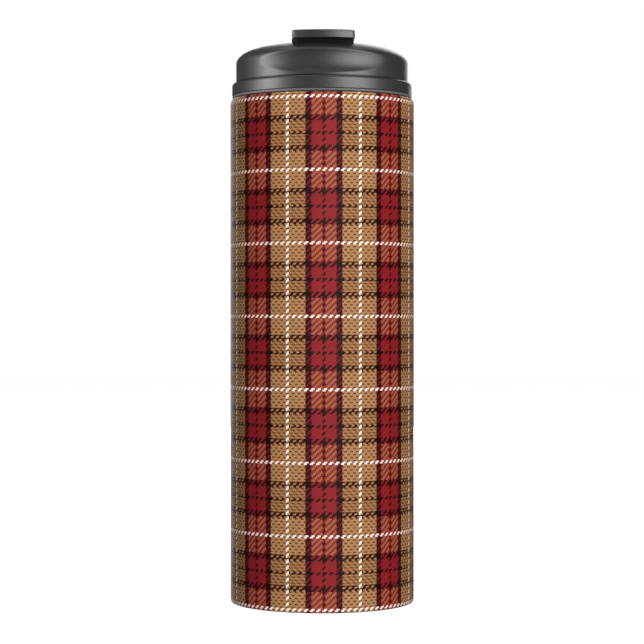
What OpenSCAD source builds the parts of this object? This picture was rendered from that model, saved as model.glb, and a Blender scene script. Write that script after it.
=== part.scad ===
// Vacuum flask with a screw lid and a flip tab. Millimetres, +Z up, front towards -Y.
// The origin is the centre of the face that it stands on.

/* [Body] */
// Outside diameter over the print
body_d = 73; // [62:0.5:90]
// Height of the steel rim
body_h = 199.9; // [150:0.5:240]
// Thickness of the printed layer
print_t = 0.15; // [0.1:0.05:0.3]
// Bare steel left between the print and the top of the rim
bare_band = 0.3; // [0.2:0.05:4]
// Radius of the bottom corner
foot_r = 2; // [1:0.1:3]
// Radius of the top corner of the shell
rim_r = 2; // [1:0.1:2.2]
// Thickness of the steel sheet
sheet_t = 0.5; // [0.4:0.05:0.7]
// Width of the vacuum gap at the wall
vacuum_gap = 5.35; // [4:0.05:7]
// Height of the liner's floor above the standing face
liner_floor = 9; // [8.5:0.1:16]
// Radius of the liner's bottom corner
liner_r = 6; // [3:0.5:12]

/* [Neck and thread] */
// Width of the steel rim
rim_w = 3.35; // [2.8:0.05:4.5]
// Depth of the wide neck
neck_h = 18.9; // [17:0.1:30]
// Rise of the thread in one turn
lead = 8; // [7:0.5:12]
// Height of a thread ridge
ridge_h = 1.15; // [0.8:0.05:1.3]
// Width of a thread ridge at its root
ridge_w = 1.6; // [1.2:0.1:1.8]
// Clearance between ridge crests and the wall facing them
thread_gap = 0.35; // [0.3:0.05:0.6]
// Depth of the highest point of the liner's thread below the rim
thread_top = 2.9; // [2.5:0.1:5]

/* [Base] */
// Radius of the opening in the turned-in foot, measured inwards from the shell
foot_lip = 3.35; // [2.5:0.05:6]
// Recess of the foot's edge above the standing face
foot_lift = 0.3; // [0.2:0.05:1]
// Thickness of the pad
pad_t = 1.7; // [1.2:0.1:2.4]
// Gap between the cover and the outer base
cover_gap = 1.2; // [0.8:0.1:2]
// Radius of the pump-out dimple
dimple_r = 3; // [2:0.1:5]
// Radius of the pump-out hole
pump_r = 0.8; // [0.5:0.1:1.2]
// Radius of the getter pill
getter_r = 5; // [3:0.5:8]
// Thickness of the getter pill
getter_t = 2.5; // [1.5:0.1:3]

/* [Lid] */
// Step from the body's side in to the collar's side
collar_step = 0.7; // [0.3:0.1:1.2]
// Height of the collar
collar_h = 5; // [4.5:0.1:10]
// Rounding of the collar's top edge
collar_r = 1.2; // [0.4:0.1:1.5]
// Height of the gasket's showing edge, from the steel rim up to the collar
seat_h = 1.1; // [0.8:0.1:2]
// Step from the collar's side in to the cap's side
cap_step = 1.6; // [1:0.1:3]
// Height of the cap
cap_h = 14; // [13:0.1:18]
// Reach of the cap's domed shoulder, inwards from its side
dome_w = 17; // [14:0.5:20]
// Height of the cap's domed shoulder
dome_h = 6.9; // [5:0.1:9]
// Width of the cap's dome, from its side in to the dish
cap_rim = 9.7; // [8:0.1:12]
// Wall of the cap's side
cap_wall = 3.2; // [3:0.1:4.5]
// Wall of the threaded plug
plug_wall = 2; // [1.5:0.1:3]
// Clearance between the plug's end and the neck's step
plug_end_gap = 0.5; // [0.3:0.1:2]
// Thickness of the deck and of the plug's floor
floor_t = 2; // [1.5:0.1:2.5]
// Depth of the dished deck below the cap's crest
dish_depth = 5; // [4:0.1:6]
// Height of the seam line between cap and collar
seam_h = 0.3; // [0.2:0.05:0.6]
// Depth of the seam line
seam_depth = 0.5; // [0.3:0.05:0.8]
// Running gap on each face of the gasket, and round the plug
seal_gap = 0.05; // [0.05:0.05:0.2]
// Step from the collar's side in to the gasket's edge
gasket_in = 0.1; // [0:0.05:0.5]

/* [Scoop] */
// Depth of the scoop at its middle
scoop_depth = 1.9; // [1:0.05:2.1]
// Radius of the scoop seen from the side
scoop_r = 8.8; // [7:0.1:10]
// Height of the scoop's middle below the crest
scoop_drop = 7.5; // [6:0.1:9]
// How far the scoop's curve is flatter than the cap's
scoop_shift = 8; // [4:0.5:14]

/* [Drink way] */
// Radius of the drink hole
spout_r = 6; // [4.5:0.1:6.5]
// Wall of the drink tube
spout_wall = 1.4; // [1:0.1:1.8]
// Clearance between the silicone plug and the tab's front wall
plug_clear = 0.15; // [0.1:0.05:0.4]
// Radius of the vent hole
vent_r = 1.5; // [0.8:0.1:1.8]
// Wall of the vent tube
vent_wall = 1.2; // [0.8:0.1:1.3]
// Distance from the hinge to the vent hole
vent_reach = 7.6; // [7.5:0.1:8]
// Thickness of the two washers under the tubes
washer_t = 1; // [0.6:0.1:2]

/* [Tab] */
// Width of the tab
tab_w = 24.2; // [18:0.2:30]
// Thickness of the tab's lip
tab_t = 3.2; // [2.4:0.1:4]
// Gap between the crest and the lip
lip_gap = 0.7; // [0.5:0.1:3]
// How far the lip stands back from the cap's side
lip_back = 2.7; // [1.5:0.1:4]
// Overhang of the lip in front of the tab's body
lip_over = 4; // [3:0.1:5]
// How much narrower the tab's body is than its lip, on each side
body_in = 0.9; // [0.2:0.1:1.5]
// Gap round the tab's body in the dome's slot
slot_gap = 0.5; // [0.4:0.05:0.8]
// Radius of the tab's upright corners
tab_corner = 1.5; // [0.8:0.1:2]
// Wall of the tab's body
tab_wall = 1.6; // [1.2:0.1:2]
// Radius of the hinge pin
pin_r = 1; // [0.8:0.1:1.2]
// Height of the hinge pin above the deck
pin_h = 4.8; // [4.7:0.1:6]
// Radius of the tab's barrel round the pin
barrel_r = 4; // [3.5:0.1:4]
// Thickness of a hinge ear
ear_t = 2.5; // [2:0.1:4]
// Gap between an ear and the tab
ear_gap = 0.4; // [0.3:0.05:0.8]

/* [Hidden] */

$fn = 96;
over = 1;              // how far a cut runs past the face it opens
press_in = 0.05;       // radial running clearance of the hinge pin
small_gap = 0.2;       // clearance between loose inner pieces

// Body, from the outside in
print_r = body_d / 2;
shell_r = print_r - print_t;
liner_out = shell_r - sheet_t - vacuum_gap;
liner_in = liner_out - sheet_t;
shell_z = foot_lift + print_t;
neck_out = shell_r - rim_w;
neck_in = neck_out - sheet_t;
neck_z = body_h - neck_h;
step_h = neck_in - liner_in;
foil_t = 0.15;
foil_end = 9;          // foil stops this far from the liner's ends

// Base, from the bottom up
foot_open = shell_r - foot_lip;
cover_top = pad_t + sheet_t;
base_z = cover_top + cover_gap;
dimple_h = 1.1;

// Thread: the ridges of liner and plug lie half a pitch apart in one channel
starts = 2;
liner_turns = 1.25;
plug_turns = 1;
crest_w_share = 0.5;   // crest width of a ridge as a share of its root
ridge_sink = 0.25;     // how far a ridge's root reaches into its wall
steps_per_turn = 48;
liner_thread_z = body_h - thread_top - lead * liner_turns;
plug_thread_z = liner_thread_z - lead / starts / 2;

// Lid
plug_out = neck_in - ridge_h - thread_gap;
plug_in = plug_out - plug_wall;
plug_z = neck_z + plug_end_gap;
plug_floor = plug_z + floor_t;
collar_out = print_r - collar_step;
collar_z = body_h + seat_h;
seam_z = collar_z + collar_h;
cap_out = collar_out - cap_step;
crest_z = seam_z + cap_h;
dish_r = cap_out - cap_rim;
dome_z = crest_z - dome_h * sqrt(1 - pow(1 - cap_rim / dome_w, 2));
dome_steps = 16;
deck_z = crest_z - dish_depth;
deck_under = deck_z - floor_t;
cap_in = cap_out - cap_wall;
spigot_gap = 0.3;
spigot_out = plug_in - spigot_gap;
spigot_t = 1.7;
spigot_h = 3.5;
web_t = 2.5;
oring_r = 0.55;

// Tubes down to the plug's floor
tube_end = plug_floor + washer_t;
foam_top = seam_z - spigot_h - 2;

// Tab
pin_z = deck_z + pin_h;
lip_z = crest_z + lip_gap;
tab_top = lip_z + tab_t;
lip_r = cap_out - lip_back;
body_front = -(lip_r - lip_over);
body_half = tab_w / 2 - body_in;
body_z = deck_z + 1.2;
roof_z = tab_top - 2.2;
pocket_front = body_front + tab_wall;
pocket_back = -(barrel_r + 0.5);
pocket_half = body_half - tab_wall - 0.2;
plug_seat = body_z + 1;
plug_tip = deck_z - 2.5;
plug_tip_r = spout_r - 1.1;
plug_top_r = spout_r + 0.4;

// Drink way: the hole lies under the plug, which stands against the tab's front wall
spout_y = pocket_front + plug_clear + plug_top_r;
vent_y = -vent_reach;

// Hinge
ear_x = tab_w / 2 + ear_gap;
ear_r = 2.4;

// Half outline of a can: radius r, from z0 to z1, bottom corner rb and top corner rt
module can_outline(r, z0, z1, rb, rt) {
    translate([0, z0 + rb]) square([r, z1 - z0 - rb - rt]);
    translate([0, z0]) square([r - rb, rb + 0.01]);
    translate([0, z1 - rt - 0.01]) square([r - rt, rt + 0.01]);
    translate([r - rb, z0 + rb]) circle(r = rb);
    translate([r - rt, z1 - rt]) circle(r = rt);
}

// Rectangle of a turned profile, from radius r0 to r1 and height z0 to z1
module band(r0, r1, z0, z1) {
    translate([r0, z0]) square([r1 - r0, z1 - z0]);
}

// Ring of rectangular section
module ring(r0, r1, z0, z1) {
    rotate_extrude() band(r0, r1, z0, z1);
}

// One helical ridge: root radius, crest radius, height of its start, its turns and its first angle
module ridge(root, crest, z0, turns, a0) {
    n = round(steps_per_turn * turns);
    fade = 5;
    pts = [for (i = [0 : n])
        let (a = a0 + 360 * i / steps_per_turn,
            z = z0 + lead * i / steps_per_turn,
            grow = min(1, (1 + min(i, n - i)) / fade),
            top = root + (crest - root) * grow,
            half = ridge_w / 2,
            tip = half * crest_w_share)
        each [[root * cos(a), root * sin(a), z - half],
            [top * cos(a), top * sin(a), z - tip],
            [top * cos(a), top * sin(a), z + tip],
            [root * cos(a), root * sin(a), z + half]]];
    out = crest > root;
    side = [for (i = [0 : n - 1], k = [0 : 3])
        let (p = 4 * i + k, q = 4 * i + (k + 1) % 4)
        each (out ? [[p, q, p + 4], [q, q + 4, p + 4]] : [[q, p, p + 4], [q, p + 4, q + 4]])];
    e = 4 * n;
    ends = out ? [[3, 2, 1], [3, 1, 0], [e, e + 1, e + 2], [e, e + 2, e + 3]]
        : [[1, 2, 3], [0, 1, 3], [e + 2, e + 1, e], [e + 3, e + 2, e]];
    polyhedron(points = pts, faces = concat(side, ends), convexity = 6);
}

// All starts of one thread
module thread(root, crest, z0, turns) {
    for (s = [0 : starts - 1])
        ridge(root, crest, z0, turns, 360 * s / starts);
}

// Plan of the tab's lip: straight sides, and a front that runs round the cap's axis
module lip_plan() {
    half = tab_w / 2;
    corner_x = half - tab_corner;
    corner_y = sqrt(pow(lip_r - tab_corner, 2) - pow(corner_x, 2));
    touch_x = corner_x * lip_r / (lip_r - tab_corner);
    intersection() {
        circle(r = lip_r);
        translate([-touch_x, -lip_r - over]) square([2 * touch_x, lip_r + over + 0.6]);
    }
    translate([-half, -corner_y]) square([tab_w, corner_y + 0.6]);
    for (x = [-corner_x, corner_x])
        translate([x, -corner_y]) circle(r = tab_corner);
}

// Plan of the tab's body: a straight front with round corners
module body_plan() {
    for (x = [-1, 1])
        translate([x * (body_half - tab_corner), body_front + tab_corner])
            circle(r = tab_corner);
    translate([-body_half, body_front + tab_corner])
        square([2 * body_half, -body_front - tab_corner]);
    translate([-body_half + tab_corner, body_front])
        square([2 * (body_half - tab_corner), tab_corner + 0.01]);
}

// Cylinder along X, centred on the middle plane
module bar_x(r, length, y, z) {
    translate([-length / 2, y, z]) rotate([0, 90, 0]) cylinder(r = r, h = length);
}

module outer_shell() {
    color("silver") rotate_extrude() difference() {
        can_outline(shell_r, shell_z, body_h, foot_r - print_t, rim_r);
        can_outline(shell_r - sheet_t, shell_z + sheet_t, body_h - sheet_t,
            foot_r - print_t - sheet_t, rim_r - sheet_t);
        band(0, foot_open, 0, body_h / 2);
        band(0, neck_out, body_h / 2, body_h + over);
    }
}

module printed_wrap() {
    color("firebrick") rotate_extrude() difference() {
        can_outline(print_r, foot_lift, body_h + print_t, foot_r, rim_r + print_t);
        can_outline(shell_r, shell_z, body_h, foot_r - print_t, rim_r);
        band(0, print_r - foot_r, 0, body_h / 2);
        band(0, print_r + over, body_h - bare_band, body_h + over);
    }
}

// Outline of the liner's outside, or of its inside when shrunk by t
module liner_outline(t) {
    can_outline(liner_out - t, liner_floor - sheet_t + t, neck_z - step_h + over,
        liner_r + sheet_t - t, 0.01);
    polygon([[0, neck_z - step_h], [liner_out - t, neck_z - step_h],
        [neck_out - t, neck_z], [neck_out - t, body_h + (t > 0 ? over : 0)],
        [0, body_h + (t > 0 ? over : 0)]]);
}

module inner_liner() {
    color("gainsboro") {
        rotate_extrude() difference() {
            liner_outline(0);
            liner_outline(sheet_t);
        }
        thread(neck_in + ridge_sink, neck_in - ridge_h, liner_thread_z, liner_turns);
    }
}

module heat_foil() {
    color("peru") ring(liner_out + foil_t / 3, liner_out + foil_t / 3 + foil_t,
        liner_floor + foil_end, neck_z - step_h - foil_end);
}

module getter() {
    color("dimgray") translate([liner_in / 2, 0, liner_floor - sheet_t - getter_t])
        cylinder(r = getter_r, h = getter_t);
}

module outer_base() {
    color("silver") rotate_extrude() difference() {
        union() {
            band(0, shell_r - sheet_t, base_z, base_z + sheet_t);
            band(shell_r - 2 * sheet_t, shell_r - sheet_t, foot_r + shell_z, base_z + sheet_t);
            band(0, dimple_r + sheet_t, base_z, base_z + sheet_t + dimple_h);
        }
        band(0, dimple_r, base_z - over, base_z + dimple_h);
        band(0, pump_r, base_z, base_z + 2 * dimple_h);
    }
}

module seal_bead() {
    color("black") rotate_extrude() {
        band(0, dimple_r - small_gap, base_z + 0.1, base_z + dimple_h);
        band(0, pump_r, base_z + 0.5, base_z + dimple_h + sheet_t);
    }
}

module base_cover() {
    color("silver") rotate_extrude() difference() {
        band(0, foot_open, shell_z, cover_top);
        band(0, foot_open - sheet_t, shell_z - over, pad_t);
    }
}

module base_pad() {
    color("#2b2b2d") rotate_extrude()
        can_outline(foot_open - sheet_t - 0.3, 0, pad_t, 0.4, 0.3);
}

module lid_gasket() {
    color("#1c1c1e") ring(plug_out + seal_gap, collar_out - gasket_in,
        body_h + seal_gap, collar_z - seal_gap);
}

module lid_base() {
    color("#1c1c1e") {
        difference() {
            rotate_extrude() difference() {
                union() {
                    band(0, plug_out, plug_z, collar_z + 1);
                    intersection() {
                        can_outline(collar_out, collar_z - 5, seam_z, 1, collar_r);
                        band(0, print_r, collar_z, seam_z);
                    }
                }
                band(0, plug_in, plug_floor, seam_z + over);
            }
            translate([0, spout_y, plug_z - over]) cylinder(r = spout_r, h = floor_t + 2 * over);
            translate([0, vent_y, plug_z - over]) cylinder(r = vent_r, h = floor_t + 2 * over);
        }
        thread(plug_out - ridge_sink, plug_out + ridge_h, plug_thread_z, plug_turns);
    }
}

module cap_oring() {
    color("gray") rotate_extrude()
        translate([spigot_out - 0.4, seam_z - spigot_h / 2 + 0.1]) circle(r = oring_r);
}

module lid_insulation() {
    color("ivory") difference() {
        ring(0, plug_in - small_gap, plug_floor + small_gap, foam_top);
        translate([0, spout_y, plug_z]) cylinder(r = spout_r + spout_wall + small_gap, h = neck_h);
        translate([0, vent_y, plug_z]) cylinder(r = vent_r + vent_wall + small_gap, h = neck_h);
    }
}

module spout_seal() {
    color("gray") translate([0, spout_y, 0])
        ring(spout_r, spout_r + spout_wall, plug_floor, tube_end);
}

module vent_seal() {
    color("gray") translate([0, vent_y, 0])
        ring(vent_r, vent_r + vent_wall, plug_floor, tube_end);
}

// Quarter of an oval that domes the cap's shoulder
module dome() {
    centre = cap_out - dome_w;
    polygon([[0, dome_z - 0.01], for (i = [0 : dome_steps])
        let (a = 90 * i / dome_steps)
        [centre + dome_w * cos(a), dome_z + dome_h * sin(a)],
        [0, dome_z + dome_h]]);
}

// Turned profile of the cap, without the deck's holes
module cap_profile() {
    difference() {
        union() {
            difference() {
                union() {
                    band(0, cap_out, seam_z, dome_z);
                    dome();
                }
                band(0, cap_in, seam_z - over, deck_under);
            }
            band(spigot_out - spigot_t, cap_in + 0.5, seam_z, seam_z + web_t);
            band(spigot_out - spigot_t, spigot_out, seam_z - spigot_h, seam_z + web_t);
        }
        can_outline(dish_r, deck_z, crest_z + 5, 1.2, 1);
        band(spigot_out - 1, spigot_out + over, seam_z - spigot_h / 2 - 0.6,
            seam_z - spigot_h / 2 + 0.8);
        band(cap_out - seam_depth, cap_out + over, seam_z - over, seam_z + seam_h);
    }
}

// Ring-shaped cutter that leaves the lens-shaped scoop in the cap's front
module scoop_cut() {
    translate([0, scoop_shift, crest_z - scoop_drop]) rotate_extrude()
        translate([scoop_shift + cap_out - scoop_depth + scoop_r, 0]) circle(r = scoop_r);
}

// Slot in the dome's front, where the tab's body lies
module slot_cut() {
    half = body_half + slot_gap;
    translate([-half, body_front - slot_gap, deck_z]) cube([2 * half, -body_front, dish_depth + over]);
}

// Ear that holds one end of the pin
module ear(side) {
    translate([side > 0 ? ear_x : -ear_x - ear_t, 0, 0]) {
        translate([0, 0, pin_z]) rotate([0, 90, 0]) cylinder(r = ear_r, h = ear_t);
        translate([0, -ear_r, deck_z - 0.5]) cube([ear_t, 2 * ear_r, pin_h + 0.5]);
    }
}

module lid_cap() {
    color("#1c1c1e") difference() {
        union() {
            difference() {
                rotate_extrude() cap_profile();
                scoop_cut();
                slot_cut();
            }
            translate([0, spout_y, tube_end])
                cylinder(r = spout_r + spout_wall, h = deck_under + 1 - tube_end);
            translate([0, vent_y, tube_end])
                cylinder(r = vent_r + vent_wall, h = deck_under + 1 - tube_end);
            for (side = [-1, 1]) ear(side);
        }
        translate([0, spout_y, tube_end - over]) cylinder(r = spout_r, h = crest_z - tube_end);
        translate([0, vent_y, tube_end - over]) cylinder(r = vent_r, h = crest_z - tube_end);
        bar_x(pin_r, 2 * (ear_x + ear_t + over), 0, pin_z);
    }
}

module hinge_pin() {
    color("silver") bar_x(pin_r, 2 * (ear_x + ear_t - small_gap), 0, pin_z);
}

module flip_tab() {
    color("#1c1c1e") difference() {
        union() {
            translate([0, 0, lip_z]) linear_extrude(tab_t) lip_plan();
            translate([0, 0, body_z]) linear_extrude(lip_z - body_z + 0.5) body_plan();
            bar_x(barrel_r, 2 * body_half, 0, pin_z);
        }
        translate([-pocket_half, pocket_front, body_z - over])
            cube([2 * pocket_half, pocket_back - pocket_front, roof_z - body_z + over]);
        bar_x(pin_r + press_in, tab_w + 2 * over, 0, pin_z);
    }
}

module spout_plug() {
    half = pocket_half - press_in;
    front = pocket_front + press_in;
    color("dimgray") {
        translate([-half, front, plug_seat])
            cube([2 * half, 2 * (spout_y - front), roof_z - plug_seat]);
        translate([0, spout_y, plug_tip])
            cylinder(r1 = plug_tip_r, r2 = plug_top_r, h = plug_seat - plug_tip + 0.01);
    }
}

module vent_plug() {
    color("dimgray") translate([0, vent_y, deck_z + 0.12])
        cylinder(r = vent_r + 1, h = roof_z - deck_z - 0.12);
}

outer_shell();
printed_wrap();
inner_liner();
heat_foil();
getter();
outer_base();
seal_bead();
base_cover();
base_pad();
lid_gasket();
lid_base();
cap_oring();
lid_insulation();
spout_seal();
vent_seal();
lid_cap();
hinge_pin();
flip_tab();
spout_plug();
vent_plug();
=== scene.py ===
# %% [markdown]
# # A vacuum flask with a plaid print
#
# The flask is a straight steel tube with a second one inside it, a screw lid of black satin plastic,
# and a flip tab that closes the drink hole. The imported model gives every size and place. The pieces
# that show are made again here with soft edges and fine surfaces, and the hidden ones keep their
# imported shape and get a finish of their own.

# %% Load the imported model
import math

import bmesh
import bpy
from mathutils import Matrix, Vector


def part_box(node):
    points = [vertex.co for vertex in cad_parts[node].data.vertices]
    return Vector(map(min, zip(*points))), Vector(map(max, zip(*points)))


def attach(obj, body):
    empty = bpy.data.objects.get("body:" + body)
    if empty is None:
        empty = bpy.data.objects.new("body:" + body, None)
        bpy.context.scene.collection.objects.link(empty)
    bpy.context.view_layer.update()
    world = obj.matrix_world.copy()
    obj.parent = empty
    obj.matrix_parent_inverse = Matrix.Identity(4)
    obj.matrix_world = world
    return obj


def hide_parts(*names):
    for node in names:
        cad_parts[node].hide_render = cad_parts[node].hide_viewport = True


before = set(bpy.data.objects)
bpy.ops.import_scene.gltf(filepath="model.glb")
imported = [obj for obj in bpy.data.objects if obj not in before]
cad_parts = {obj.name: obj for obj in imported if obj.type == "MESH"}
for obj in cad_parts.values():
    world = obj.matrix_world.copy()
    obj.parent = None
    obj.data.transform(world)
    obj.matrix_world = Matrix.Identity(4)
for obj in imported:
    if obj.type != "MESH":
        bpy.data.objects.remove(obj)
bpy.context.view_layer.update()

# %% [markdown]
# ## Measures
# A node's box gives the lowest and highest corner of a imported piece, so the radius of a round piece
# is the box's right side and its heights are the box's bottom and top. Roundings, walls and thread
# sizes, which a box can't tell, are written down as lengths of their own.

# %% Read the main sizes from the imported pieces
MM = 0.001


def low(node):
    """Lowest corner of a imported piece."""
    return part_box(node)[0]


def high(node):
    """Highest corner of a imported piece."""
    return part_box(node)[1]


body_r = high("printed_wrap").x
print_top = high("printed_wrap").z
foot_z = low("printed_wrap").z
rim_z = high("outer_shell").z
shell_r = high("outer_shell").x
neck_out = high("inner_liner").x
collar_r = high("lid_base").x
seam_z = high("lid_base").z
plug_z = low("lid_base").z
cap_r = high("lid_cap").x
pin_z = (low("hinge_pin").z + high("hinge_pin").z) / 2
pin_r = (high("hinge_pin").z - low("hinge_pin").z) / 2
sheet_t = 0.5 * MM
print("body radius and rim height, mm:", round(body_r / MM, 2), round(rim_z / MM, 2))

# %% [markdown]
# ## Turned pieces
# Nearly every part of a flask is turned or drawn on a lathe, so one function spins a half section
# round the upright axis. A half section is a list of corners, each with its own rounding, and
# `soften` swaps every corner for a short arc. A Screw modifier could spin the section too, but
# building the rings by hand lets a `shape` function push single points in, as the lid's scoop needs.

# %% Half sections and the lathe


def soften(corners, steps=6, closed=False):
    """Points of an outline whose corners (x, z, rounding) are swapped for arcs."""
    points = []
    count = len(corners)
    for k, (x, z, rounding) in enumerate(corners):
        here = Vector((x, z))
        if rounding <= 0 or (not closed and k in (0, count - 1)):
            points.append((x, z))
            continue
        before = Vector(corners[k - 1][:2]) - here
        after = Vector(corners[(k + 1) % count][:2]) - here
        bend = before.angle(after)
        reach = min(rounding / math.tan(bend / 2), 0.499 * before.length, 0.499 * after.length)
        radius = reach * math.tan(bend / 2)
        start = here + before.normalized() * reach
        end = here + after.normalized() * reach
        inward = (before.normalized() + after.normalized()).normalized()
        middle = here + inward * radius / math.sin(bend / 2)
        a, b = start - middle, end - middle
        turn = a.angle_signed(b)
        for s in range(steps + 1):
            spoke = Matrix.Rotation(-turn * s / steps, 2) @ a
            points.append(tuple(middle + spoke))
    return points


def refine(points, low_x, step):
    """The same outline with extra points on the stretches that lie further out than low_x."""
    finer = [points[0]]
    for a, b in zip(points, points[1:]):
        length = math.dist(a, b)
        parts = max(1, math.ceil(length / step)) if min(a[0], b[0]) >= low_x else 1
        for s in range(1, parts + 1):
            finer.append((a[0] + (b[0] - a[0]) * s / parts, a[1] + (b[1] - a[1]) * s / parts))
    return finer


def smooth(obj, angle=35):
    """Smooth shading that stays sharp at edges above this angle."""
    obj.data.shade_smooth()
    obj.data.set_sharp_from_angle(angle=math.radians(angle))
    return obj


def to_object(name, form):
    """Turn a bmesh into a scene object with outward faces."""
    bmesh.ops.remove_doubles(form, verts=form.verts, dist=1e-7)
    bmesh.ops.recalc_face_normals(form, faces=form.faces)
    mesh = bpy.data.meshes.new(name)
    form.to_mesh(mesh)
    form.free()
    obj = bpy.data.objects.new(name, mesh)
    bpy.context.scene.collection.objects.link(obj)
    return obj


def lathe(name, section, around=192, shape=None, closed=False):
    """Spin a half section (x, z) round the upright axis."""
    form = bmesh.new()
    rings = []
    for x, z in section:
        if x < 1e-6:
            rings.append([form.verts.new((0, 0, z))] * around)
            continue
        ring = []
        for k in range(around):
            angle = 2 * math.pi * k / around
            r = shape(x, z, angle) if shape else x
            ring.append(form.verts.new((r * math.sin(angle), -r * math.cos(angle), z)))
        rings.append(ring)
    pairs = list(zip(rings, rings[1:]))
    if closed:
        pairs.append((rings[-1], rings[0]))
    for a, b in pairs:
        for k in range(around):
            corners = [a[k], a[(k + 1) % around], b[(k + 1) % around], b[k]]
            corners = list(dict.fromkeys(corners))
            if len(corners) > 2:
                form.faces.new(corners)
    return smooth(to_object(name, form))


# %% [markdown]
# ## Moulded pieces
# The tab and the plugs under it aren't round. A `slab` stacks copies of a plan drawing, each a little
# smaller near the top and the bottom, which gives an extrusion with rounded rims. Where two shapes
# join or one is cut from another, a Boolean modifier with the exact solver does it, and its result is
# kept as the piece's mesh.

# %% Slabs and joined shapes


def inset(plan, depth):
    """The plan drawn smaller by this depth, every point moved square to the outline."""
    moved = []
    count = len(plan)
    for k, (x, y) in enumerate(plan):
        ax, ay = plan[k - 1]
        bx, by = plan[(k + 1) % count]
        along = Vector((bx - ax, by - ay)).normalized()
        moved.append((x - along.y * depth, y + along.x * depth))
    return moved


def slab(name, plan, z0, z1, top=0.0, bottom=0.0, steps=5):
    """Extrude a plan (anticlockwise) from z0 to z1, with rounded top and bottom rims."""
    levels = [(z0 + bottom * (1 - math.cos(math.pi / 2 * s / steps)),
               bottom * (1 - math.sin(math.pi / 2 * s / steps))) for s in range(steps + 1)]
    levels += [(z1 - top * (1 - math.sin(math.pi / 2 * s / steps)),
                top * (1 - math.cos(math.pi / 2 * s / steps))) for s in range(steps + 1)]
    form = bmesh.new()
    loops = [[form.verts.new((x, y, z)) for x, y in inset(plan, depth)] for z, depth in levels]
    count = len(plan)
    for a, b in zip(loops, loops[1:]):
        for k in range(count):
            form.faces.new([a[k], a[(k + 1) % count], b[(k + 1) % count], b[k]])
    form.faces.new(loops[0][::-1])
    form.faces.new(loops[-1])
    return smooth(to_object(name, form))


def round_rect(x0, x1, y0, y1, r, steps=8):
    """Plan of a rectangle with round corners, anticlockwise."""
    corners = [(x1 - r, y0 + r, -90), (x1 - r, y1 - r, 0), (x0 + r, y1 - r, 90), (x0 + r, y0 + r, 180)]
    plan = []
    for cx, cy, start in corners:
        for s in range(steps + 1):
            a = math.radians(start + 90 * s / steps)
            plan.append((cx + r * math.cos(a), cy + r * math.sin(a)))
    return plan


def keep_result(obj):
    """Replace an object's mesh with what its modifiers make of it."""
    graph = bpy.context.evaluated_depsgraph_get()
    mesh = bpy.data.meshes.new_from_object(obj.evaluated_get(graph))
    obj.modifiers.clear()
    obj.data = mesh


def join_shape(obj, tool, how="UNION"):
    """Add the tool to an object, or cut it away with how="DIFFERENCE"."""
    step = obj.modifiers.new(how, "BOOLEAN")
    step.operation = how
    step.solver = "EXACT"
    step.object = tool
    keep_result(obj)
    bpy.data.objects.remove(tool)
    return smooth(obj)


def lay_along_x(obj, y, z):
    """Tip a turned piece over so that its axis runs along X, at this height and depth."""
    turn = Matrix.Translation((0, y, z)) @ Matrix.Rotation(math.radians(90), 4, "Y")
    obj.data.transform(turn)
    return obj


# %% [markdown]
# ## Screw threads
# The lid turns on a thread with two starts: two ridges in the neck and two on the plug, half a pitch
# apart in one channel. `ridge` sweeps a low trapezoid up a helix and fades it out at both ends, as a
# rolled thread does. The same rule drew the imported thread, so both stay in mesh while the lid turns.

# %% Helical ridge
lead = 8 * MM
ridge_h = 1.15 * MM
ridge_w = 1.6 * MM
thread_gap = 0.35 * MM
ridge_sink = 0.25 * MM
liner_turns = 1.25
liner_thread_z = rim_z - 2.9 * MM - lead * liner_turns
plug_thread_z = liner_thread_z - lead / 4


def ridge(name, root, crest, z0, turns, first, per_turn=96, fade=10):
    """One helical ridge from radius root to radius crest, starting at angle first."""
    form = bmesh.new()
    count = round(per_turn * turns)
    rows = []
    for i in range(count + 1):
        a = first + 2 * math.pi * i / per_turn
        z = z0 + lead * i / per_turn
        grow = min(1, (1 + min(i, count - i)) / fade)
        top = root + (crest - root) * grow
        half = ridge_w / 2
        row = [(root, z - half), (top, z - half / 2), (top, z + half / 2), (root, z + half)]
        rows.append([form.verts.new((r * math.cos(a), r * math.sin(a), h)) for r, h in row])
    for a, b in zip(rows, rows[1:]):
        for k in range(4):
            form.faces.new([a[k], a[(k + 1) % 4], b[(k + 1) % 4], b[k]])
    form.faces.new(rows[0])
    form.faces.new(rows[-1])
    return to_object(name, form)


def add_thread(obj, root, crest, z0, turns):
    """Join both starts of a thread to a turned piece."""
    for start in (0, 1):
        join_shape(obj, ridge("ridge", root, crest, z0, turns, math.pi * start))


def done(obj, node, body):
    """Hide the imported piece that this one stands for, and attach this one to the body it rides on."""
    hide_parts(node)
    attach(obj, body)
    print(f"{obj.name}: {len(obj.data.polygons)} faces")


# %% [markdown]
# ## The steel body
# The outer wall is a drawn tube: it turns in at the foot and over at the shoulder, where it is welded
# to the liner. Both corners are round, and the print runs over them up to the flat of the rim.

# %% Outer shell
foot_r = 2 * MM
rim_r = 2 * MM
print_t = body_r - shell_r
foot_open = high("base_cover").x
shell_z = low("outer_shell").z

shell_section = soften([
    (foot_open, shell_z + sheet_t, 0.1 * MM),
    (foot_open, shell_z, 0.15 * MM),
    (shell_r, shell_z, foot_r - print_t),
    (shell_r, rim_z, rim_r),
    (neck_out, rim_z, 0.02 * MM),
    (neck_out, rim_z - sheet_t, 0),
    (shell_r - sheet_t, rim_z - sheet_t, rim_r - sheet_t),
    (shell_r - sheet_t, shell_z + sheet_t, foot_r - print_t - sheet_t),
], closed=True)
steel_shell = lathe("steel_shell", shell_section, around=256, closed=True)
done(steel_shell, "outer_shell", "flask")

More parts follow.
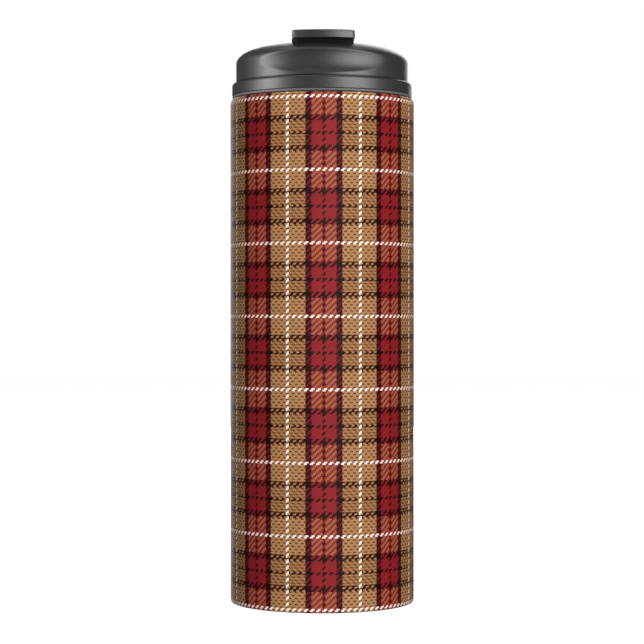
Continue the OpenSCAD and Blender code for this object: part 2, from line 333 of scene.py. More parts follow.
# %% [markdown]
# ## The printed wrap
# The print is a thin layer with real thickness, and it bends round the shell's corners at the foot
# and at the shoulder. Its mesh gets a map of its own, in which the outer face fills nearly the whole
# square, so the fine threads keep their detail when the finish is stored as a picture. The place of
# a point up the map is its distance along the section, and the map's seam lies at the back.

# %% Printed wrap with its map
wrap_around = 256
shoulder_z = rim_z - rim_r


def shoulder_arc(r, steps=10):
    """Points of the shoulder's rounding from the side up to the print's edge."""
    last = math.asin((print_top - shoulder_z) / r)
    turns = [last * s / steps for s in range(steps + 1)]
    return [(shell_r - rim_r + r * math.cos(t), shoulder_z + r * math.sin(t)) for t in turns]


foot_arc = soften([
    (body_r - foot_r, foot_z, 0),
    (body_r, foot_z, foot_r),
    (body_r, shoulder_z, 0),
], steps=10)
outer_points = foot_arc[:-1] + shoulder_arc(rim_r + print_t)
inner_foot = soften([
    (shell_r, shoulder_z, 0),
    (shell_r, foot_z + print_t, foot_r - print_t),
    (body_r - foot_r, foot_z + print_t, 0),
], steps=10)
inner_points = shoulder_arc(rim_r)[::-1] + inner_foot[1:]
plaid_wrap = lathe("plaid_wrap", outer_points + inner_points, around=wrap_around, closed=True)

outer_share = 0.97
map_edge = 0.004
outer_count = len(outer_points)
ring_count = outer_count + len(inner_points)
along = [0.0]
for a, b in zip(outer_points, outer_points[1:]):
    along.append(along[-1] + math.dist(a, b))
wrap_map = plaid_wrap.data.uv_layers.new(name="OFBake")
for face in plaid_wrap.data.polygons:
    first_ring = face.index // wrap_around
    middle = math.atan2(face.center.x, -face.center.y)
    for loop_index in face.loop_indices:
        vertex = plaid_wrap.data.vertices[plaid_wrap.data.loops[loop_index].vertex_index]
        angle = math.atan2(vertex.co.x, -vertex.co.y)
        angle += 2 * math.pi * round((middle - angle) / (2 * math.pi))
        ring = vertex.index // wrap_around
        if first_ring < outer_count - 1:
            v = 1 - outer_share + map_edge + along[ring] / along[-1] * (outer_share - 2 * map_edge)
        else:
            share = ((ring or ring_count) - outer_count + 1) / (ring_count - outer_count + 1)
            v = map_edge + share * (1 - outer_share - 2 * map_edge)
        wrap_map.data[loop_index].uv = (0.5 + angle / (2 * math.pi) * (1 - 2 * map_edge), v)
done(plaid_wrap, "printed_wrap", "flask")

# %% [markdown]
# ## The liner
# The liner holds the drink. It steps out to a wider neck near the top, and the neck carries the
# rolled thread. It only shows when the lid is off, but a flask is opened often.

# %% Liner and its thread
neck_in = neck_out - sheet_t
plug_r = neck_in - ridge_h - thread_gap
neck_z = plug_z - 0.5 * MM
liner_out = low("heat_foil").x * -1 - 0.2 * MM
liner_in = liner_out - sheet_t
liner_bottom = low("inner_liner").z
step_z = neck_z - (neck_in - liner_in)
bottom_r = 6.5 * MM

liner_section = soften([
    (0, liner_bottom, 0),
    (liner_out, liner_bottom, bottom_r),
    (liner_out, step_z, 1.5 * MM),
    (neck_out, neck_z, 1.5 * MM),
    (neck_out, rim_z, 0.05 * MM),
    (neck_in, rim_z, 0.2 * MM),
    (neck_in, neck_z, 1 * MM),
    (liner_in, step_z, 1 * MM),
    (liner_in, liner_bottom + sheet_t, bottom_r - sheet_t),
    (0, liner_bottom + sheet_t, 0),
], steps=10)
steel_liner = lathe("steel_liner", liner_section, around=192)
add_thread(steel_liner, neck_in + ridge_sink, neck_in - ridge_h, liner_thread_z, liner_turns)
done(steel_liner, "inner_liner", "flask")

# %% [markdown]
# ## The foot
# A pressed cover closes the bottom, and a black silicone pad is set into it so that the flask stands
# quietly. The pad is moulded with rings that let it grip.

# %% Base cover and pad
cover_top = high("base_cover").z
cover_section = soften([
    (0, cover_top, 0),
    (foot_open, cover_top, 0.3 * MM),
    (foot_open, shell_z, 0.1 * MM),
    (foot_open - sheet_t, shell_z, 0.1 * MM),
    (foot_open - sheet_t, cover_top - sheet_t, 0.2 * MM),
    (0, cover_top - sheet_t, 0),
])
steel_cover = lathe("steel_cover", cover_section)
done(steel_cover, "base_cover", "flask")

pad_r = high("base_pad").x
pad_top = high("base_pad").z
groove_w = 1.2 * MM
groove_d = 0.5 * MM
pad_corners = [(0, 0, 0)]
for share in (0.3, 0.52, 0.74):
    r = pad_r * share
    pad_corners += [(r, 0, 0.2 * MM), (r + 0.3 * MM, groove_d, 0.15 * MM),
                    (r + groove_w - 0.3 * MM, groove_d, 0.15 * MM), (r + groove_w, 0, 0.2 * MM)]
pad_corners += [(pad_r, 0, 0.4 * MM), (pad_r, pad_top, 0.3 * MM), (0, pad_top, 0)]
silicone_pad = lathe("silicone_pad", soften(pad_corners))
done(silicone_pad, "base_pad", "flask")

# %% [markdown]
# ## The screw lid
# The collar, the threaded plug and the plug's floor are one moulding. It is turned in one go, then
# the drink hole and the vent hole are cut through its floor and the thread is joined on.

# %% Gasket and lid base
gasket_low, gasket_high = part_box("lid_gasket")
seal_gap = 0.05 * MM
gasket_section = soften([
    (plug_r + seal_gap, gasket_low.z, 0.2 * MM),
    (gasket_high.x, gasket_low.z, 0.3 * MM),
    (gasket_high.x, gasket_high.z, 0.3 * MM),
    (plug_r + seal_gap, gasket_high.z, 0.2 * MM),
], closed=True)
gasket = lathe("gasket", gasket_section, around=256, closed=True)
done(gasket, "lid_gasket", "lid_seal")

collar_z = gasket_high.z + seal_gap
plug_in = plug_r - 2 * MM
floor_t = 2 * MM
base_section = soften([
    (0, plug_z, 0),
    (plug_r, plug_z, 0.6 * MM),
    (plug_r, collar_z, 0.3 * MM),
    (collar_r, collar_z, 0.25 * MM),
    (collar_r, seam_z, 1.2 * MM),
    (plug_in, seam_z, 0.2 * MM),
    (plug_in, plug_z + floor_t, 0.8 * MM),
    (0, plug_z + floor_t, 0),
], steps=8)
lid_collar = lathe("lid_collar", base_section, around=256)

spout_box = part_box("spout_seal")
spout_y = (spout_box[0].y + spout_box[1].y) / 2
spout_out = spout_box[1].x
spout_wall = 1.4 * MM
spout_r = spout_out - spout_wall
vent_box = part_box("vent_seal")
vent_y = (vent_box[0].y + vent_box[1].y) / 2
vent_out = vent_box[1].x
vent_wall = 1.2 * MM
vent_r = vent_out - vent_wall


def hole(r, y, z0, z1, flare=0.4 * MM, around=64):
    """A cutter for a round hole from z0 to z1 with softly flared ends."""
    rim = [(r + flare * (1 - math.sin(math.pi / 2 * s / 5)), flare * (1 - math.cos(math.pi / 2 * s / 5)))
           for s in range(6)]
    section = [(0, z0 - MM), (r + flare, z0 - MM)]
    section += [(x, z0 + h) for x, h in rim]
    section += [(x, z1 - h) for x, h in reversed(rim)]
    section += [(r + flare, z1 + MM), (0, z1 + MM)]
    cutter = lathe("cutter", section, around=around)
    cutter.data.transform(Matrix.Translation((0, y, 0)))
    return cutter


join_shape(lid_collar, hole(spout_r, spout_y, plug_z, plug_z + floor_t), "DIFFERENCE")
join_shape(lid_collar, hole(vent_r, vent_y, plug_z, plug_z + floor_t, flare=0.2 * MM), "DIFFERENCE")
add_thread(lid_collar, plug_r - ridge_sink, plug_r + ridge_h, plug_thread_z, 1)
done(lid_collar, "lid_base", "lid")

# %% [markdown]
# ## The cap and its scoop
# The cap has a lens-shaped scoop in its front, where a thumb reaches under the tab. The scoop is the
# bite of a big ring-shaped cutter. A Boolean would leave a hard rim, so the cutter's surface is
# worked out as a formula instead, and a smooth minimum of the two radii rounds the rim where they
# meet. The hinge ears are joined on, and the drink tube and vent tube run down to the plug's floor.

# %% Cap section and scoop
cap_h = 14 * MM
dome_w = 17 * MM
dome_h = 6.9 * MM
crest_z = seam_z + cap_h
dome_steps = 32
cap_rim = 9.7 * MM
dish_r = cap_r - cap_rim
dome_z = crest_z - dome_h * math.sqrt(1 - ((dish_r - cap_r + dome_w) / dome_w) ** 2)
pin_over_deck = 4.8 * MM
deck_z = pin_z - pin_over_deck
deck_under = deck_z - 2 * MM
cap_wall = 3.2 * MM
cap_in = cap_r - cap_wall
spigot_out = plug_in - 0.3 * MM
spigot_in = spigot_out - 1.7 * MM
spigot_h = 3.5 * MM
web_t = 2.5 * MM
seam_d = 0.5 * MM
seam_h = 0.3 * MM

scoop_r = 8.8 * MM
scoop_depth = 1.9 * MM
scoop_z = crest_z - 7.5 * MM
scoop_shift = 8 * MM
scoop_ring = scoop_shift + cap_r - scoop_depth + scoop_r
scoop_rim = 0.3 * MM


def scooped(x, z, angle):
    """Radius of the cap's side after the scoop, with a softly rounded rim."""
    rise = z - scoop_z
    inner = (x < cap_in + 0.05 * MM and z < deck_z) or x < dish_r + MM
    if inner or abs(rise) >= scoop_r or math.cos(angle) < 0.2:
        return x
    reach = scoop_ring - math.sqrt(scoop_r ** 2 - rise ** 2)
    side = scoop_shift * math.sin(angle)
    cut = math.sqrt(reach ** 2 - side ** 2) - scoop_shift * math.cos(angle)
    blend = max(scoop_rim - abs(x - cut), 0) / scoop_rim
    return min(x, cut) - blend ** 2 * scoop_rim / 4


dome_end = math.acos((dish_r - cap_r + dome_w) / dome_w)
dome = []
for s in range(dome_steps + 1):
    a = dome_end * s / dome_steps
    rounding = 0.25 * MM if s == dome_steps else 0
    dome.append((cap_r - dome_w + dome_w * math.cos(a), dome_z + dome_h * math.sin(a), rounding))
cap_section = soften([
    (0, deck_under, 0),
    (cap_in, deck_under, 0.8 * MM),
    (cap_in, seam_z + web_t, 0.8 * MM),
    (spigot_in, seam_z + web_t, 0.4 * MM),
    (spigot_in, seam_z - spigot_h, 0.3 * MM),
    (spigot_out, seam_z - spigot_h, 0.3 * MM),
    (spigot_out, seam_z, 0.05 * MM),
    (cap_r - seam_d, seam_z, 0.05 * MM),
    (cap_r - seam_d, seam_z + seam_h, 0.05 * MM),
    (cap_r, seam_z + seam_h, 0.12 * MM),
    *dome,
    (dish_r, deck_z, 1.2 * MM),
    (0, deck_z, 0),
], steps=14)
cap_section = refine(cap_section, dish_r, 0.25 * MM)
lid_top = lathe("lid_top", cap_section, around=384, shape=scooped)
print("scoop: deepest", round(scoop_depth / MM, 2), "mm")

# %% Tubes, ears and holes of the cap
tube_end = high("spout_seal").z
tab_half = high("flip_tab").x
body_in = 0.9 * MM
lip_over = 4 * MM
slot_gap = 0.5 * MM
pin_cut_half = 20 * MM
ear_x = tab_half + 0.4 * MM
ear_t = 2.5 * MM
ear_r = 2.4 * MM


def tube(r, y, z0, z1):
    """A plain round bar from z0 to z1."""
    bar = lathe("bar", soften([(0, z0, 0), (r, z0, 0.15 * MM), (r, z1, 0), (0, z1, 0)]), around=64)
    bar.data.transform(Matrix.Translation((0, y, 0)))
    return bar


def ear(side):
    """A hinge ear: a rounded upright on the deck that holds one end of the pin."""
    outline = [(-ear_r - 0.8 * MM, deck_z - 0.5 * MM), (ear_r + 0.8 * MM, deck_z - 0.5 * MM)]
    outline += [(ear_r + 0.8 * MM, deck_z), (ear_r + 0.25 * MM, deck_z + 0.3 * MM)]
    for s in range(25):
        a = math.pi * s / 24
        outline.append((ear_r * math.cos(a), pin_z + ear_r * math.sin(a)))
    outline += [(-ear_r - 0.25 * MM, deck_z + 0.3 * MM), (-ear_r - 0.8 * MM, deck_z)]
    plate = slab("ear", outline, 0, ear_t, top=0.3 * MM, bottom=0.3 * MM, steps=4)
    stand = Matrix(((0, 0, 1, 0), (1, 0, 0, 0), (0, 1, 0, 0), (0, 0, 0, 1)))
    start = ear_x if side > 0 else -ear_x - ear_t
    plate.data.transform(Matrix.Translation((start, 0, 0)) @ stand)
    return plate


def pin_cutter(r):
    """A cutter for the hole that the pin lies in."""
    section = [(0, -pin_cut_half), (r, -pin_cut_half), (r, pin_cut_half), (0, pin_cut_half)]
    return lay_along_x(lathe("cutter", section, around=48), 0, pin_z)


join_shape(lid_top, tube(spout_out, spout_y, tube_end, deck_under + MM))
join_shape(lid_top, tube(vent_out, vent_y, tube_end, deck_under + MM))
for side in (-1, 1):
    join_shape(lid_top, ear(side))
slot_half = tab_half - body_in + slot_gap
slot_front = low("flip_tab").y + lip_over - slot_gap
slot_plan = round_rect(-slot_half, slot_half, slot_front, -8 * MM, 0.6 * MM)
join_shape(lid_top, slab("slot", slot_plan, deck_z + 0.001 * MM, crest_z + 2 * MM), "DIFFERENCE")
join_shape(lid_top, hole(spout_r, spout_y, tube_end, deck_z, flare=0.5 * MM), "DIFFERENCE")
join_shape(lid_top, hole(vent_r, vent_y, tube_end, deck_z, flare=0.4 * MM), "DIFFERENCE")
join_shape(lid_top, pin_cutter(pin_r), "DIFFERENCE")
done(lid_top, "lid_cap", "lid")

# %% [markdown]
# ## The flip tab
# The tab is a lip that a thumb lifts, on a hollow body with a round barrel for the pin. The lip's
# front follows the cap's curve, and the body stands back under it and leaves a dark finger gap.

# %% Hinge pin and flip tab
pin_half = high("hinge_pin").x
pin_section = soften([(0, -pin_half, 0), (pin_r, -pin_half, 0.25 * MM), (pin_r, pin_half, 0.25 * MM),
                      (0, pin_half, 0)])
tab_pin = lay_along_x(lathe("tab_pin", pin_section, around=48), 0, pin_z)
done(tab_pin, "hinge_pin", "lid")

tab_low, tab_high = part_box("flip_tab")
tab_top = tab_high.z
barrel_r = tab_high.y
lip_t = 3.2 * MM
lip_z = tab_top - lip_t
lip_r = -tab_low.y
tab_corner = 1.5 * MM
body_half = tab_half - body_in
body_front = -(lip_r - lip_over)
body_z = deck_z + 1.2 * MM
roof_z = tab_top - 2.2 * MM


def lip_plan(back):
    """Plan of the lip: straight sides and a front that runs round the cap's axis."""
    corner_x = tab_half - tab_corner
    corner_y = math.sqrt((lip_r - tab_corner) ** 2 - corner_x ** 2)
    lean = math.asin(corner_x / (lip_r - tab_corner))
    plan = []
    for s in range(25):
        a = -lean + 2 * lean * s / 24
        plan.append((lip_r * math.sin(a), -lip_r * math.cos(a)))
    for s in range(1, 9):
        a = lean - math.pi / 2 + (math.pi / 2 - lean) * s / 8
        plan.append((corner_x + tab_corner * math.cos(a), -corner_y + tab_corner * math.sin(a)))
    plan += [(tab_half, back), (-tab_half, back)]
    for s in range(8):
        a = math.pi + (math.pi / 2 - lean) * s / 8
        plan.append((-corner_x + tab_corner * math.cos(a), -corner_y + tab_corner * math.sin(a)))
    return plan


tab_shape = slab("tab_shape", lip_plan(0.6 * MM), lip_z, tab_top, top=0.55 * MM, bottom=0.35 * MM)
body_plan = round_rect(-body_half, body_half, body_front, 0.6 * MM, tab_corner)
join_shape(tab_shape, slab("tab_body", body_plan, body_z, lip_z + 0.6 * MM, bottom=0.3 * MM))
barrel_section = soften([(0, -body_half, 0), (barrel_r, -body_half, 0.4 * MM),
                         (barrel_r, body_half, 0.4 * MM), (0, body_half, 0)])
join_shape(tab_shape, lay_along_x(lathe("barrel", barrel_section, around=96), 0, pin_z))
pocket_half = body_half - 1.8 * MM
pocket_front = body_front + 1.6 * MM
pocket_back = -(barrel_r + 0.5 * MM)
pocket = slab("pocket", round_rect(-pocket_half, pocket_half, pocket_front, pocket_back, 0.8 * MM),
              body_z - MM, roof_z)
join_shape(tab_shape, pocket, "DIFFERENCE")
join_shape(tab_shape, pin_cutter(pin_r + 0.05 * MM), "DIFFERENCE")
done(tab_shape, "flip_tab", "tab")

# %% Silicone plugs under the tab
plug_low, plug_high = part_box("spout_plug")
seat_z = body_z + MM
seat_plan = round_rect(plug_low.x, plug_high.x, plug_low.y, plug_high.y, 0.75 * MM)
drink_plug = slab("drink_plug", seat_plan, seat_z, plug_high.z, bottom=0.3 * MM)
cone = lathe("cone", soften([
    (0, plug_low.z, 0),
    (spout_r - 1.1 * MM, plug_low.z, 0.8 * MM),
    (spout_r + 0.4 * MM, seat_z, 0.1 * MM),
    (spout_r + 0.4 * MM, seat_z + 0.5 * MM, 0),
    (0, seat_z + 0.5 * MM, 0),
]), around=96)
cone.data.transform(Matrix.Translation((0, spout_y, 0)))
join_shape(drink_plug, cone)
done(drink_plug, "spout_plug", "tab")

stop_low, stop_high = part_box("vent_plug")
stop_r = stop_high.x
stopper = lathe("vent_stopper", soften([
    (0, stop_low.z, 0),
    (stop_r, stop_low.z, 0.4 * MM),
    (stop_r, stop_high.z, 0),
    (0, stop_high.z, 0),
]), around=64)
stopper.data.transform(Matrix.Translation((0, vent_y, 0)))
done(stopper, "vent_plug", "tab")

# %% [markdown]
# ## Finishes
# Shader maths reads best as plain sums, so `Wire` wraps a socket and turns `+`, `-`, `*`, `/`, `%`,
# `<` and `>` into Math nodes. `Finish` starts a material and has one method, `add`, for every other
# node. What varies over a surface goes only to colour, roughness and bump, and what is the same all
# over is set on the shader itself.

# %% Wires and finishes


class Wire:
    """A socket that can be used in sums of numbers."""

    def __init__(self, finish, socket):
        self.finish = finish
        self.socket = socket

    def math(self, operation, a, b=0.0):
        return self.finish.add("ShaderNodeMath", {"operation": operation}, {0: a, 1: b})

    def __add__(self, other):
        return self.math("ADD", self, other)

    def __radd__(self, other):
        return self.math("ADD", other, self)

    def __sub__(self, other):
        return self.math("SUBTRACT", self, other)

    def __rsub__(self, other):
        return self.math("SUBTRACT", other, self)

    def __mul__(self, other):
        return self.math("MULTIPLY", self, other)

    def __rmul__(self, other):
        return self.math("MULTIPLY", other, self)

    def __truediv__(self, other):
        return self.math("DIVIDE", self, other)

    def __mod__(self, other):
        return self.math("FLOORED_MODULO", self, other)

    def __gt__(self, other):
        return self.math("GREATER_THAN", self, other)

    def __lt__(self, other):
        return self.math("LESS_THAN", self, other)

    def floor(self):
        return self.math("FLOOR", self)

    def power(self, other):
        return self.math("POWER", self, other)

    def clamped(self):
        return self.finish.add("ShaderNodeClamp", {}, {"Value": self})


class Finish:
    """A material, its shader, and the nodes that feed it."""

    def __init__(self, name, **shader):
        self.material = bpy.data.materials.new(name)
        self.material.use_nodes = True
        self.tree = self.material.node_tree
        self.shader = self.tree.nodes["Principled BSDF"]
        for socket, value in shader.items():
            self.set(socket.replace("_", " "), value)

    def set(self, socket, value):
        """Set or link one of the shader's sockets."""
        names = {s.name.lower(): s for s in self.shader.inputs}
        self.feed(names[socket.lower()], value)

    def feed(self, socket, value):
        if isinstance(value, Wire):
            self.tree.links.new(value.socket, socket)
        else:
            socket.default_value = value

    def add(self, kind, settings, sockets, out=0):
        """Add a node: its settings first, then the values or links of its sockets."""
        node = self.tree.nodes.new(kind)
        for name, value in settings.items():
            setattr(node, name, value)
        for name, value in sockets.items():
            self.feed(node.inputs[name], value)
        return Wire(self, node.outputs[out])

    def mix(self, factor, a, b):
        """Blend two colours."""
        return self.add("ShaderNodeMix", {"data_type": "RGBA"}, {0: factor, 6: a, 7: b}, out=2)

    def place(self):
        """Where a point lies on the piece, in metres."""
        return self.add("ShaderNodeTexCoord", {}, {}, out=3)

    def stretched(self, vector, scale):
        """The place with each axis scaled, to draw a pattern out."""
        return self.add("ShaderNodeVectorMath", {"operation": "MULTIPLY"}, {0: vector, 1: scale})

    def noise(self, vector, size, detail=2.0, rough=0.5):
        """Soft noise whose lumps are about this size in metres, from 0 to 1."""
        sockets = {"Vector": vector, "Scale": 1 / size, "Detail": detail, "Roughness": rough}
        return self.add("ShaderNodeTexNoise", {"normalize": True}, sockets)

    def parts(self, vector):
        """The three numbers of a vector."""
        node = self.tree.nodes.new("ShaderNodeSeparateXYZ")
        self.feed(node.inputs[0], vector)
        return [Wire(self, s) for s in node.outputs]

    def bump(self, height, distance):
        """Relief: height from 0 to 1 stands for this depth in metres."""
        sockets = {"Height": height, "Distance": distance, "Strength": 1.0}
        return self.add("ShaderNodeBump", {}, sockets)


def srgb(r, g, b):
    """A colour given as display values from 0 to 255, as the shader's linear values."""
    values = []
    for c in (r, g, b):
        c = c / 255
        values.append(c / 12.92 if c <= 0.04045 else ((c + 0.055) / 1.055) ** 2.4)
    return (*values, 1.0)


def paint(finish, *objects):
    """Give the finish to every listed piece."""
    for obj in objects:
        obj.data.materials.clear()
        obj.data.materials.append(finish.material)


# %% [markdown]
# ## The plaid
# The print imitates a woven twill. A real twill is a grid of warp and weft threads, and where the
# count of both adds up to a certain remainder the weft lies on top. So the pattern needs no picture:
# the angle and the height of a point give a column and a row of the weave, a few comparisons say
# which colour stripe each is in, and the twill rule picks the thread that shows.

# %% Plaid print
threads = 48
repeats_round = 8
thread_w = 2 * math.pi * body_r / (repeats_round * threads)
thread_h = 0.5841 * MM
white_row_z = 113.66 * MM
print("thread width, mm:", round(thread_w / MM, 3))

plaid = Finish("plaid_print", specular_ior_level=0.07)
x, y, z = plaid.parts(plaid.place())
round_angle = x.math("ARCTAN2", x, y * -1)
column = (round_angle * (body_r / thread_w) + threads / 2).floor() % threads
row = ((white_row_z - z) / thread_h + threads / 2).floor() % threads


def between(value, first, last):
    """1 where a whole number lies in this range, else 0."""
    return (value > first - 0.5) * (value < last + 0.5)


column_white = 1 - between(column, 1, threads - 2)
column_edge = between(column, 12, 15) + between(column, 32, 35)
column_black = column_edge + between(column, 23, 24)
column_red = between(column, 12, 35)
row_white = between(row, 23, 24)
row_black = between(row, 8, 11) + between(row, 36, 39) + (1 - between(row, 1, threads - 2))
row_red = between(row, 1, 7) + between(row, 40, 46)
phase = (column + row) % 4
weft_on_top = (phase < 0.5) + (phase > 2.5)

tan = srgb(171, 127, 84)
rust = srgb(156, 98, 65)
red = srgb(136, 30, 36)
black = srgb(30, 7, 6)
maroon = srgb(98, 24, 32)
white = srgb(250, 232, 220)
olive = srgb(144, 104, 66)
brown = srgb(104, 54, 32)
red_or_olive = plaid.mix(column_red, olive, red)
tan_or_rust = plaid.mix(column_red, tan, rust)
top_thread = plaid.mix(row_red, tan_or_rust, red_or_olive)
top_thread = plaid.mix((column_black + row_black).clamped(), top_thread, black)
top_thread = plaid.mix((column_white + row_white).clamped(), top_thread, white)
under_tan = plaid.mix(row % 2, brown, tan)
under_thread = plaid.mix(column_red, under_tan, red)
under_thread = plaid.mix(column_edge, under_thread, maroon)
under_thread = plaid.mix(column_black * row_black, under_thread, black)
print_colour = plaid.mix(weft_on_top, under_thread, top_thread)
ink = plaid.noise(plaid.place(), 0.35 * MM, detail=3)
plaid.set("Base Color", plaid.mix(ink * 0.05, print_colour, srgb(70, 44, 30)))
peel = plaid.noise(plaid.place(), 1.4 * MM, detail=2)
handled = plaid.noise(plaid.place(), 18 * MM, detail=3)
plaid.set("Roughness", 0.40 + handled * 0.10 + peel * 0.04)
plaid.set("Normal", plaid.bump(peel, 0.012 * MM))
paint(plaid, plaid_wrap)

# %% [markdown]
# ## Steel
# Drawn and turned steel carries fine lines round the axis. Noise squeezed hard along Z and read by
# radius and height gives those lines, as bump and as a change in roughness.

# %% Steel finishes


def turned_steel(name, colour, rough, line, depth):
    """Steel with fine lines round the axis."""
    steel = Finish(name, metallic=1.0)
    where = steel.place()
    x, y, z = steel.parts(where)
    radius = (x * x + y * y).power(0.5)
    rings = steel.add("ShaderNodeCombineXYZ", {}, {0: radius, 1: 0.0, 2: z})
    lines = steel.noise(rings, line, detail=4, rough=0.65)
    cloud = steel.noise(where, 9 * MM, detail=3)
    steel.set("Base Color", steel.mix(lines * 0.5, colour, [c * 0.8 for c in colour[:3]] + [1]))
    steel.set("Roughness", rough + lines * 0.14 + cloud * 0.08)
    steel.set("Normal", steel.bump(lines, depth))
    return steel


shell_steel = turned_steel("shell_steel", srgb(200, 199, 196), 0.26, 0.12 * MM, 0.01 * MM)
liner_steel = turned_steel("liner_steel", srgb(206, 206, 205), 0.16, 0.3 * MM, 0.008 * MM)
pin_steel = Finish("pin_steel", metallic=1.0)
scratch = pin_steel.noise(pin_steel.stretched(pin_steel.place(), (40, 1, 1)), 0.4 * MM, detail=3)
pin_steel.set("Base Color", pin_steel.mix(scratch, srgb(196, 196, 198), srgb(168, 168, 170)))
pin_steel.set("Roughness", 0.16 + scratch * 0.16)
pin_steel.set("Normal", pin_steel.bump(scratch, 0.004 * MM))
paint(shell_steel, steel_shell, steel_cover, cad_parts["outer_base"])
paint(liner_steel, steel_liner)
paint(pin_steel, tab_pin)

# %% [markdown]
# ## Black satin plastic
# The lid's mould has a fine sparked texture: tiny lumps that scatter the light and turn a highlight
# into a soft glow. Two sizes of noise make the grain, and a slow noise stands for handling. The sides
# of the tab under its lip are dull, and their colour is painted shade: darker than the lid's black,
# because the recess under the lip lies in shadow.

# %% Lid and tab plastic


def satin_plastic(name, colour, lighter, rough, grain, depth, gloss=0.5):
    """Moulded plastic with a sparked grain."""
    plastic = Finish(name, specular_ior_level=gloss)
    where = plastic.place()
    fine = plastic.noise(where, grain, detail=2, rough=0.6)
    coarse = plastic.noise(where, grain * 3, detail=2)
    touch = plastic.noise(where, 11 * MM, detail=4, rough=0.55)
    speck = (fine - 0.62) * 4
    plastic.set("Base Color", plastic.mix(speck.clamped() * 0.5 + touch * 0.15, colour, lighter))
    plastic.set("Roughness", rough + touch * 0.08 + fine * 0.06)
    plastic.set("Normal", plastic.bump(fine * 0.65 + coarse * 0.35, depth))
    return plastic


ink_black = srgb(20, 20, 21)
worn_black = srgb(50, 50, 52)
lid_plastic = satin_plastic("lid_plastic", ink_black, worn_black, 0.36, 0.16 * MM, 0.018 * MM)
tab_plastic = satin_plastic("tab_plastic", ink_black, worn_black, 0.34, 0.14 * MM, 0.014 * MM)
# Painted shade: the finish for the tab's sides under the lip is darker than the lid's black, for the
# shadow in the recess there, and has a low gloss.
tab_shade_painted = satin_plastic("tab_shade_painted", srgb(9, 9, 9), ink_black, 0.6, 0.14 * MM, 0.014 * MM, gloss=0.08)
paint(lid_plastic, lid_collar, lid_top)
paint(tab_plastic, tab_shape)
tab_shape.data.materials.append(tab_shade_painted.material)
# The faces under the lip take the dark finish of painted shade.
for face in tab_shape.data.polygons:
    if face.center.z < lip_z - 0.01 * MM:
        face.material_index = 1
print("tab faces under the lip:", sum(face.material_index for face in tab_shape.data.polygons))

# %% [markdown]
# ## Silicone and the hidden pieces
# Silicone is matt, a little milky and holds dust. The foam, the foil, the getter pill and the glass
# bead stay inside the flask, but a cut or opened copy shows them, so each has its own finish.

# %% Soft and hidden finishes


def silicone(name, colour, dusty, rough):
    """Matt silicone with a light bloom of dust."""
    rubber = Finish(name, specular_ior_level=0.4)
    where = rubber.place()
    bloom = rubber.noise(where, 4 * MM, detail=5, rough=0.6)
    grain = rubber.noise(where, 0.2 * MM, detail=2)
    rubber.set("Base Color", rubber.mix(bloom * 0.5 + grain * 0.2, colour, dusty))
    rubber.set("Roughness", rough + bloom * 0.15)
    rubber.set("Normal", rubber.bump(grain, 0.015 * MM))
    return rubber


seal_silicone = silicone("seal_silicone", srgb(150, 151, 153), srgb(176, 177, 178), 0.5)
pad_silicone = silicone("pad_silicone", srgb(40, 40, 42), srgb(66, 66, 68), 0.6)
gasket_silicone = silicone("gasket_silicone", srgb(58, 56, 54), srgb(78, 76, 74), 0.5)
paint(seal_silicone, drink_plug, stopper)
paint(gasket_silicone, gasket)
paint(seal_silicone, *[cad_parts[n] for n in ("cap_oring", "spout_seal", "vent_seal")])
paint(pad_silicone, silicone_pad)

foam = Finish("foam", roughness=0.9)
cells = foam.add("ShaderNodeTexVoronoi", {}, {"Vector": foam.place(), "Scale": 1 / (0.8 * MM)})
foam.set("Base Color", foam.mix(cells, srgb(238, 234, 220), srgb(205, 198, 178)))
foam.set("Normal", foam.bump(cells, 0.12 * MM))
paint(foam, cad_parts["lid_insulation"])

foil = Finish("foil", metallic=1.0)
crease = foil.add("ShaderNodeTexVoronoi", {"feature": "DISTANCE_TO_EDGE"},
                  {"Vector": foil.place(), "Scale": 1 / (6 * MM)})
foil.set("Base Color", foil.mix(crease, srgb(214, 150, 112), srgb(228, 176, 142)))
foil.set("Roughness", 0.18 + crease * 0.3)
foil.set("Normal", foil.bump(crease, 0.4 * MM))
paint(foil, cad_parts["heat_foil"])

getter_metal = Finish("getter_metal", metallic=0.8)
pores = getter_metal.noise(getter_metal.place(), 0.25 * MM, detail=4, rough=0.7)
getter_metal.set("Base Color", getter_metal.mix(pores, srgb(96, 96, 98), srgb(150, 150, 150)))
getter_metal.set("Roughness", 0.55 + pores * 0.3)
getter_metal.set("Normal", getter_metal.bump(pores, 0.05 * MM))
paint(getter_metal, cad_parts["getter"])

bead_glass = Finish("bead_glass")
flow = bead_glass.noise(bead_glass.place(), 0.9 * MM, detail=3)
bead_glass.set("Base Color", bead_glass.mix(flow, srgb(26, 28, 30), srgb(58, 60, 58)))
bead_glass.set("Roughness", 0.08 + flow * 0.12)
bead_glass.set("Normal", bead_glass.bump(flow, 0.05 * MM))
paint(bead_glass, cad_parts["seal_bead"])

# %% [markdown]
# ## Studio
# The flask stands in a plain white cove: a round floor that curves up far away on every side, so no
# horizon shows from any angle. The paper glows a little of its own, so that it stays white while the
# flask's shadow still falls on it, and only the camera sees it, so it throws no light back.

# %% Cove
cove_r = 4.0
bend_r = 1.5
cove_line = [(0, 0)]
for s in range(33):
    a = math.pi / 2 * s / 32
    cove_line.append((cove_r - bend_r + bend_r * math.sin(a), bend_r - bend_r * math.cos(a)))
cove_line.append((cove_r, 6.0))
cove = lathe("cove", cove_line, around=96)
paper = Finish("paper", roughness=0.9, specular_ior_level=0.0)
fibre = paper.noise(paper.place(), 3 * MM, detail=2)
paper.set("Base Color", paper.mix(fibre, (0.78, 0.78, 0.78, 1), (0.80, 0.80, 0.80, 1)))
paper.set("Emission Color", (1.0, 1.0, 1.0, 1.0))
paper.set("Emission Strength", 0.86)
paint(paper, cove)
cove.visible_diffuse = False
cove.visible_glossy = False
cove.visible_transmission = False
cove.visible_shadow = False

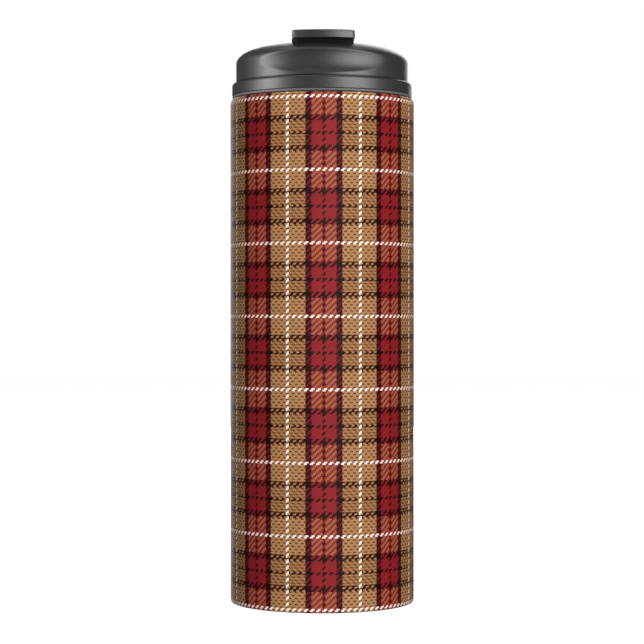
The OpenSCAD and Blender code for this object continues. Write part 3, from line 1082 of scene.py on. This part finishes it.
# %% [markdown]
# ## Lights
# The satin lid and the matt print want different light. Tall softboxes at the left, at the right and
# behind leave the lid's soft highlights, but they would wash out the print, so they shine on the
# lid's pieces alone, by light linking. A broad key light in front and another one behind shine on
# the body. A top light and an even surround fill all the rest.

# %% Softboxes


def softbox(name, azimuth, distance, height, width, tall, power, only=None):
    """A tall area light at an angle round the flask, aimed at its middle."""
    lamp = bpy.data.lights.new(name, "AREA")
    lamp.shape = "RECTANGLE"
    lamp.size = width
    lamp.size_y = tall
    lamp.energy = power
    obj = bpy.data.objects.new(name, lamp)
    a = math.radians(azimuth)
    obj.location = (distance * math.sin(a), -distance * math.cos(a), height)
    aim = Vector((0, 0, 0.12)) - obj.location
    obj.rotation_euler = aim.to_track_quat("-Z", "Y").to_euler()
    obj.light_linking.receiver_collection = only
    bpy.context.scene.collection.objects.link(obj)


def light_group(name, *pieces):
    """A set of pieces that a light can be kept to."""
    group = bpy.data.collections.new(name)
    for piece in pieces:
        group.objects.link(piece)
    return group


lid_group = light_group("lid_pieces", lid_collar, lid_top, tab_shape, tab_pin, gasket)
body_group = light_group("body_pieces", plaid_wrap, steel_shell, steel_liner, steel_cover,
                         silicone_pad, drink_plug, stopper, cove)
softbox("left_softbox", -73, 1.2, 0.3, 0.5, 1.4, 32, only=lid_group)
softbox("right_softbox", 40, 1.2, 0.3, 0.9, 1.4, 36, only=lid_group)
softbox("back_softbox", 170, 1.2, 0.3, 0.7, 1.4, 16, only=lid_group)
softbox("key_light", 10, 1.2, 0.35, 1.1, 1.4, 22, only=body_group)
softbox("back_light", 185, 1.2, 0.35, 1.1, 1.4, 18, only=body_group)
softbox("top_light", 180, 0.2, 1.6, 1.2, 1.2, 8)

world = bpy.data.worlds.new("surround")
world.use_nodes = True
world.node_tree.nodes["Background"].inputs["Color"].default_value = (1, 1, 1, 1)
world.node_tree.nodes["Background"].inputs["Strength"].default_value = 0.12
bpy.context.scene.world = world
bpy.context.scene.view_settings.view_transform = "Standard"

# %% [markdown]
# ## Camera
# The camera looks level at the flask from a little under a metre, through a long lens, and its
# frame is dropped slightly so that the flask sits in the middle.

# %% Camera
distance = 839 * MM
eye_z = 115.3 * MM
camera = bpy.data.objects.new("camera", bpy.data.cameras.new("camera"))
camera.data.lens = 117.7
camera.data.sensor_width = 36
camera.data.shift_y = -0.0155
camera.data.shift_x = -0.0002
camera.data.clip_end = 30
turn = math.radians(-1.1)
camera.location = (distance * math.sin(turn), -distance * math.cos(turn), eye_z)
camera.rotation_euler = (math.radians(90), 0, turn)
bpy.context.scene.collection.objects.link(camera)
bpy.context.scene.camera = camera
